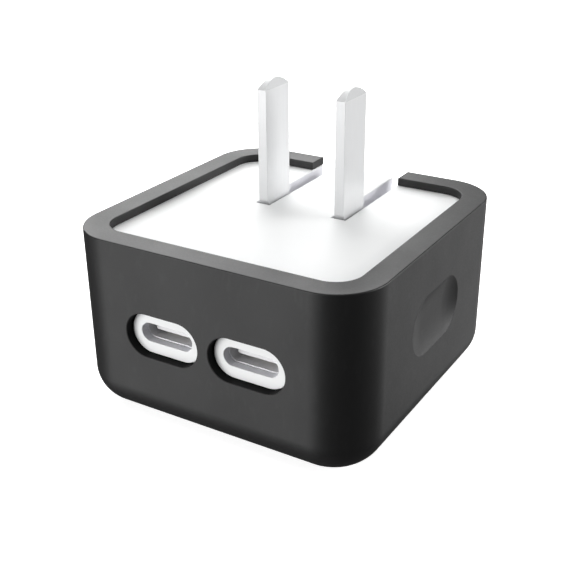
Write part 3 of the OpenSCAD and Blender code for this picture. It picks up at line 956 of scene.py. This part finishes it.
@dataclass
class Casing(Assembly):
    """The charger's own white body: a shell with two socket holes and a face cover with two slots."""

    half: float = 21.25
    low: float = 1.75
    parting: float = 18.2
    top: float = 25.75
    corner: float = 5.55
    foot: float = 3.65
    head: float = 0.4
    wall: float = 1.5
    face: float = 1.4
    floor: float = 3.35
    socket_x: float = 6.75
    socket_z: float = 14.2
    hole: tuple[float, float] = (8.4, 2.8)
    shroud: tuple[float, float] = (9.14, 3.46)
    shroud_mouth: float = -20.45
    hole_edge: float = 0.1
    pad: tuple[float, float, float] = (11.5, 6.2, 0.5)
    slot_x: float = 6.35
    slot_half: float = 1.15
    slot_front: float = 2.2
    slot_floor: float = 19.05
    slot_edge: float = 0.12
    well_wall: float = 0.8
    well_back: float = 9.6
    pocket: tuple[float, float, float, float] = (10.1, 2.7, 5.7, 25.3)
    post: tuple[float, float, float] = (15.6, 1.5, 5.2)
    post_root: float = 0.4
    lip: tuple[float, float, float] = (0.05, 0.8, 1.1)
    rear_pad: tuple[float, float, float, float] = (8.2, 18.25, 22.7, 1.5)

    def shell(self) -> Piece:
        """Makes the lower shell: a cup with the socket holes and the board's four posts.

        Returns:
            The shell.
        """
        piece = pillow("shell", self.half, self.low, self.parting, self.corner, self.foot, steps=22)
        sink_face(piece, lambda c, n: c.z > self.parting - HAIR and n.z > 0.9, self.wall,
                  (0, 0, self.floor - self.parting))
        at, radius, top = self.post
        for x in (-at, at):
            for y in (-at, at):
                post = rod("post", radius, (x, y, self.floor - self.post_root), (x, y, top), 32)
                combine(piece, post, Cut.ADD)
        wide, tall, deep = self.pad
        for side in Side:
            x = side.value * self.socket_x
            pad = oblong("pad", wide, tall, (x, -self.half, self.socket_z), 2 * deep, 24)
            round_edges(pad, lambda a, b: max(a.y, b.y) < HAIR - self.half - deep, self.hole_edge, 4)
            combine(piece, pad, Cut.ADD)
            hole = oblong("hole", *self.hole, (x, -self.half, self.socket_z), 4 * self.wall)
            combine(piece, hole, Cut.TAKE_AWAY)
            seat_at = (x, self.shroud_mouth + self.wall, self.socket_z)
            combine(piece, oblong("seat", *self.shroud, seat_at, 2 * self.wall), Cut.TAKE_AWAY)

        def on_hole(a: Vector, b: Vector) -> bool:
            """Tells whether an edge is on a hole's outline in its pad's face."""
            flush = max(a.y, b.y) < HAIR - self.half - deep
            return flush and all(
                on_oblong(v, self.socket_x, self.socket_z, self.hole) for v in (a, b, (a + b) / 2))

        round_edges(piece, on_hole, self.hole_edge, 4)
        return piece

    def cover(self) -> Piece:
        """Makes the face cover: rounded upper edge, centring lip, slots with wells and room for the hinge.

        Returns:
            The cover.
        """
        piece = pillow("cover", self.half, self.parting, self.top, self.corner, 0, self.head, 22)
        sink_face(piece, lambda c, n: c.z < self.parting + HAIR and n.z < -0.9, self.wall,
                  (0, 0, self.top - self.face - self.parting))
        room, thick, drop = self.lip
        inner, corner = self.half - self.wall, self.corner - self.wall
        lip, bore = (
            pillow(name, inner - step, self.parting - rise, self.parting + rise, corner - step, steps=12)
            for name, step, rise in (("lip", room, drop), ("bore", thick, 2 * drop)))
        combine(lip, bore, Cut.TAKE_AWAY)
        combine(piece, lip, Cut.ADD)
        pad_x, pad_low, pad_back, pad_corner = self.rear_pad
        pad = block("pad", (-pad_x, self.half - self.wall / 2, pad_low), (pad_x, pad_back, self.top))

        def is_pad_foot(a: Vector, b: Vector) -> bool:
            """Tells whether an edge runs along Y at the pad's underside."""
            return abs(a.y - b.y) > HAIR and max(a.z, b.z) < pad_low + HAIR

        round_edges(pad, is_pad_foot, pad_corner, 12)
        combine(piece, pad, Cut.ADD)
        for side in Side:
            x = side.value * self.slot_x
            reach = self.slot_half + self.well_wall
            well = block("well", (x - reach, self.well_back, self.slot_floor - self.well_wall),
                         (x + reach, self.half - self.wall / 2, self.top - self.face / 2))
            combine(piece, well, Cut.ADD)
            slot = block("slot", (x - self.slot_half, self.slot_front, self.slot_floor),
                         (x + self.slot_half, self.half + PAST, self.top + PAST))
            combine(piece, slot, Cut.TAKE_AWAY)
        half_x, front, back, high = self.pocket
        pocket = block("pocket", (-half_x, front, self.top - self.face - 1), (half_x, back, high))
        combine(piece, pocket, Cut.TAKE_AWAY)

        def on_slot(a: Vector, b: Vector) -> bool:
            """Tells whether an edge is on a slot's outline in the face, or on the pad's rear."""
            if all(v.y > pad_back - HAIR and v.z > pad_low - HAIR for v in (a, b)):
                return True
            along = abs(a.x - b.x) < HAIR and abs(abs(abs(a.x) - self.slot_x) - self.slot_half) < HAIR
            across = max(a.y, b.y) < self.slot_front + HAIR
            near = all(abs(abs(v.x) - self.slot_x) < self.slot_half + HAIR for v in (a, b))
            return min(a.z, b.z) > self.top - HAIR and near and (along or across)

        round_edges(piece, on_slot, self.slot_edge, 3)
        return piece

    def build(self) -> None:
        """Makes and dresses the shell and the cover."""
        for piece, node in ((self.shell(), "body_shell"), (self.cover(), "face_cover")):
            shade(piece, 25)
            self.wardrobe.dress(piece, "white_plastic", Body.CHARGER, node)
            # Slot and hole walls get the darker, bluish white: painted shade.
            self.wardrobe.accent(piece, "white_recess_shade", self.is_shaded_recess)

    def is_shaded_recess(self, middle: Vector, normal: Vector) -> bool:
        """Tells whether a face lies on the wall of a slot or of a socket hole, which gets painted shade.

        Args:
            middle: The face's middle, in millimetres.
            normal: Its normal.

        Returns:
            Whether it does.
        """
        in_slot = (abs(abs(middle.x) - self.slot_x) < self.slot_half + HAIR
                   and middle.y > self.slot_front - HAIR
                   and self.slot_floor - HAIR < middle.z < self.top - self.slot_edge)
        in_hole = (abs(abs(middle.x) - self.socket_x) < self.shroud[0] / 2 + HAIR and abs(normal.y) < 0.5
                   and abs(middle.z - self.socket_z) < self.shroud[1] / 2 + HAIR
                   and -self.half - self.pad[2] + self.hole_edge < middle.y < -self.half + self.wall)
        return in_slot or in_hole


# ---- blades


@dataclass
class Blades(Assembly):
    """The two flat blades, with bevelled, rounded tips and heels that turn about the hinge."""

    offset: float = 6.35
    thick: float = 1.5
    width: float = 6.3
    inset: float = 1.8
    hinge_y: float = 4.2
    hinge_z: float = 23.95
    length: float = 18.2
    tip_radius: float = 4.5
    tip_bevel: tuple[float, float] = (1.3, 0.4)
    heel: tuple[float, float, float, float] = (3.2, 3.0, 0.8, 0.4)
    heel_lead: float = 0.1
    bore: float = 1.12
    edge: float = 0.06

    @property
    def tip(self) -> float:
        """Height of the blades' tips."""
        return self.hinge_z + self.inset + self.length

    def blade(self) -> Piece:
        """Makes one blade, standing, at the left place.

        Returns:
            The blade.
        """
        x, half = -self.offset, self.thick / 2
        near, far = x - PAST, x + PAST
        front = self.hinge_y - self.inset
        back = front + self.width
        low = self.hinge_z - self.inset
        heel_y, heel_z, heel_rise, heel_front = self.heel
        piece = block("blade_left", (x - half, front, low), (x + half, back, self.tip))

        def is_front_foot(a: Vector, b: Vector) -> bool:
            """Tells whether an edge is the foot's front one."""
            return abs(a.x - b.x) > HAIR and max(a.z, b.z) < low + HAIR and max(a.y, b.y) < front + HAIR

        round_edges(piece, is_front_foot, self.inset - HAIR / 2, 12)
        sink_face(piece, lambda c, n: n.z < -0.9 and c.z < low + HAIR and c.y > self.hinge_y, 0,
                  (0, 0, self.inset - heel_z))
        slice_off(piece, (x, back, self.hinge_z - heel_rise),
                  (0, heel_z - heel_rise, -(back - self.hinge_y - heel_y)))
        slice_off(piece, (x, self.hinge_y + heel_front, self.hinge_z - heel_z),
                  (0, -(heel_z - self.inset), -(heel_front + self.heel_lead)))
        soften(piece, self.edge, 30)
        middle = front + self.width / 2
        level = self.tip - self.tip_radius
        dome = rod("dome", self.tip_radius, (near, middle, level), (far, middle, level), 128)
        stem = block("stem", (near, front - PAST, low - 2 * PAST), (far, back + PAST, level))
        combine(dome, stem, Cut.ADD)
        combine(piece, dome, Cut.KEEP_INSIDE)
        rise, depth = self.tip_bevel
        for way in (-1, 1):
            slice_off(piece, (x + way * half, middle, self.tip - rise), (way * rise, 0, depth))
        combine(piece, rod("bore", self.bore, (near, self.hinge_y, self.hinge_z),
                           (far, self.hinge_y, self.hinge_z)), Cut.TAKE_AWAY)
        return piece

    def build(self) -> None:
        """Makes, copies and dresses the two blades."""
        left = self.blade()
        right = copy_piece(left, "blade_right", (2 * self.offset, 0, 0))
        rise, depth = self.tip_bevel
        facet = Vector((rise, 0, depth))

        def is_shaded_facet(middle: Vector, normal: Vector) -> bool:
            """Tells whether a face is one of the tip's two bevels, which get painted shade."""
            lean = Vector((abs(normal.x), normal.y, normal.z)).angle(facet)
            return lean < math.radians(1) and middle.z > self.tip - rise

        for piece, node in ((left, "prong_left"), (right, "prong_right")):
            shade(piece, 12)
            self.wardrobe.dress(piece, "blade_metal", Body.PRONGS, node)
            # The tip's bevels get the darker metal: painted shade.
            self.wardrobe.accent(piece, "blade_facet_shade", is_shaded_facet)


# ---- sockets


@dataclass
class Sockets(Assembly):
    """The two USB-C sockets: shroud, tongue and contacts."""

    x: float = 6.75
    z: float = 14.2
    outside: tuple[float, float] = (8.94, 3.26)
    inside: tuple[float, float] = (8.34, 2.56)
    mouth: float = -20.4
    length: float = 7.3
    tongue: tuple[float, float] = (6.69, 0.7)
    tongue_tip: float = -19.9
    edge: float = 0.1
    tip_edge: float = 0.08
    tip_corner: float = 0.5
    root: float = -14.4
    plug_ease: float = 0.04
    step: tuple[float, float, float] = (0.3, 1.4, 0.4)

    def shroud(self) -> Piece:
        """Makes the left metal shroud: an oblong tube with a rounded mouth.

        Returns:
            The shroud.
        """
        centre = (-self.x, self.mouth + self.length / 2, self.z)
        piece = oblong("shroud_left", *self.outside, centre, self.length, 16)
        bore = oblong("bore", *self.inside, centre, self.length + PAST, 16)
        combine(piece, bore, Cut.TAKE_AWAY)
        soften(piece, self.edge)
        return piece

    def insulator(self) -> Piece:
        """Makes the left tongue with its stepped root and the block behind it.

        Returns:
            The insulator.
        """
        half, thick = self.tongue[0] / 2, self.tongue[1] / 2
        piece = block("tongue_left", (-self.x - half, self.tongue_tip, self.z - thick),
                      (-self.x + half, self.root + 0.5, self.z + thick))

        def is_tip_corner(a: Vector, b: Vector) -> bool:
            """Tells whether an edge stands at one of the tip's two corners."""
            return abs(a.z - b.z) > HAIR and max(a.y, b.y) < self.tongue_tip + HAIR

        round_edges(piece, is_tip_corner, self.tip_corner, 6)
        soften(piece, self.tip_edge)
        back = self.mouth + self.length
        plug = oblong("plug", *(size - self.plug_ease for size in self.inside),
                      (-self.x, (self.root + back) / 2, self.z), back - self.root, 16)
        combine(piece, plug, Cut.ADD)
        side, ahead, behind = self.step
        step = block("step", (-self.x - half - side, self.root - ahead, self.z - 2 * thick),
                     (-self.x + half + side, self.root + behind, self.z + 2 * thick))
        combine(piece, step, Cut.ADD)
        return piece

    def build(self) -> None:
        """Makes, copies and dresses the two sockets."""
        for piece, slot, kind in ((self.shroud(), "socket_steel", "shell"),
                                  (self.insulator(), "socket_insulator", "tongue")):
            right = copy_piece(piece, piece.name.replace("left", "right"), (2 * self.x, 0, 0))
            for copy, side in ((piece, "left"), (right, "right")):
                shade(copy, 30)
                self.wardrobe.dress(copy, slot, Body.CHARGER, f"usb_{kind}_{side}")


# ---- studio


def bearing(azimuth: float, elevation: float) -> Vector:
    """Gives the direction out from the charger at an azimuth and elevation.

    Args:
        azimuth: Turn from the front towards +X, in degrees.
        elevation: Rise over the floor, in degrees.

    Returns:
        The direction, of length 1.
    """
    turn, rise = math.radians(azimuth), math.radians(elevation)
    return Vector((math.sin(turn) * math.cos(rise), -math.cos(turn) * math.cos(rise), math.sin(rise)))


@dataclass(frozen=True)
class Softbox:
    """A soft light card aimed at the charger, placed by azimuth and elevation."""

    name: str
    azimuth: float
    elevation: float
    width: float
    height: float
    radiance: float
    distance: float = 0.55

    def build(self, target: Vector) -> None:
        """Adds the light, hidden from the camera.

        Args:
            target: Where it points, in metres.
        """
        way = bearing(self.azimuth, self.elevation)
        bpy.ops.object.light_add(type="AREA", location=target + way * self.distance,
                                 rotation=way.to_track_quat("Z", "Y").to_euler())
        lamp = bpy.context.object
        lamp.name = self.name
        lamp.visible_camera = False
        lamp.data.shape = "RECTANGLE"
        lamp.data.size = self.width
        lamp.data.size_y = self.height
        lamp.data.energy = self.radiance * math.pi * self.width * self.height


@dataclass
class Studio:
    """Floor, lights, backdrop and camera."""

    azimuth: float = 31.26
    elevation: float = 25.38
    roll: float = -0.45
    lens: float = 60.54
    sensor: float = 36
    spot: Point = (-0.74, 12.87, 150.39)
    sight: tuple[float, float] = (0.005, 20)
    light_aim: float = 15
    floor_radius: float = 3.0
    floor_glow: float = 0.8
    overhead: float = 1.12
    overhead_spread: float = 60
    ambient: float = 0.08
    lights: tuple[Softbox, ...] = (
        Softbox("front_card", -31, -12, 0.40, 0.64, 2.45),
        Softbox("side_card", 154, -8, 0.36, 0.60, 0.70),
        Softbox("back_card", 228.5, 32, 0.54, 0.33, 5.0),
        Softbox("front_fill", -28, 9, 0.36, 0.30, 4.6),
        Softbox("side_fill", 121, 12, 0.36, 0.30, 8.2),
    )

    def floor(self) -> None:
        """Lays a pale round floor under the charger."""
        bpy.ops.mesh.primitive_circle_add(
            vertices=96, radius=self.floor_radius, fill_type="NGON", location=(0, 0, -HAIR * MM))
        piece = settle("floor")
        graph = Graph("floor_paper")
        tooth = graph.noise(40, 2)
        paper = graph.finish({
            "Specular IOR Level": 0.1, "Emission Color": (1, 1, 1, 1), "Emission Strength": self.floor_glow,
            "Base Color": graph.blend(graph.spread(tooth, 0, 1), (0.97,) * 3, (0.96,) * 3),
            "Roughness": graph.spread(tooth, 0.8, 0.9)})
        piece.data.materials.append(paper)
        piece.visible_diffuse = piece.visible_glossy = piece.visible_shadow = False

    def backdrop(self) -> None:
        """Sets a white backdrop that lights the scene only faintly."""
        world = bpy.data.worlds.new("backdrop")
        bpy.context.scene.world = world
        world.use_nodes = True
        tree = world.node_tree
        tree.nodes.clear()
        ray = plant(tree, "ShaderNodeLightPath", {}).outputs["Is Camera Ray"]
        glow, seen = (
            plant(tree, "ShaderNodeBackground", {"Color": (1, 1, 1, 1), "Strength": strength}).outputs[0]
            for strength in (self.ambient, 1))
        mix = plant(tree, "ShaderNodeMixShader", {0: ray, 1: glow, 2: seen}).outputs[0]
        plant(tree, "ShaderNodeOutputWorld", {"Surface": mix})

    def camera(self) -> None:
        """Adds the camera for the three-quarter view, placed along its own axes from the charger's foot."""
        back = bearing(self.azimuth, self.elevation)
        right = bearing(self.azimuth + 90, 0)
        up = back.cross(right)
        roll = math.radians(self.roll)
        across = right * math.cos(roll) + up * math.sin(roll)
        along = up * math.cos(roll) - right * math.sin(roll)
        turn = Matrix((across, along, back)).transposed()
        bpy.ops.object.camera_add()
        camera = bpy.context.object
        camera.name = "camera"
        camera.matrix_world = Matrix.Translation(turn @ Vector(self.spot) * MM) @ turn.to_4x4()
        camera.data.lens = self.lens
        camera.data.sensor_width = self.sensor
        camera.data.clip_start, camera.data.clip_end = self.sight
        bpy.context.scene.camera = camera

    def build(self) -> None:
        """Sets up the whole studio."""
        scene = bpy.context.scene
        scene.view_settings.view_transform = "Standard"
        scene.view_settings.look = "None"
        self.floor()
        self.backdrop()
        bpy.ops.object.light_add(type="SUN", location=(0, 0, 1))
        sun = bpy.context.object
        sun.name = "overhead"
        sun.data.energy = self.overhead
        sun.data.angle = math.radians(self.overhead_spread)
        for light in self.lights:
            light.build(Vector((0, 0, self.light_aim * MM)))
        self.camera()
        LOG.info("studio: %d soft boxes and one overhead light", len(self.lights))


def main() -> None:
    """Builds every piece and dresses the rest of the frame."""
    logging.basicConfig(level=logging.INFO, format="%(name)s: %(message)s")
    Studio().build()
    wardrobe = Wardrobe()
    wardrobe.dress_nodes()
    for kind in (Sleeve, Casing, Blades, Sockets):
        kind(wardrobe).build()
        LOG.info("%s is done", kind.__name__)


if __name__ == "__main__":
    main()
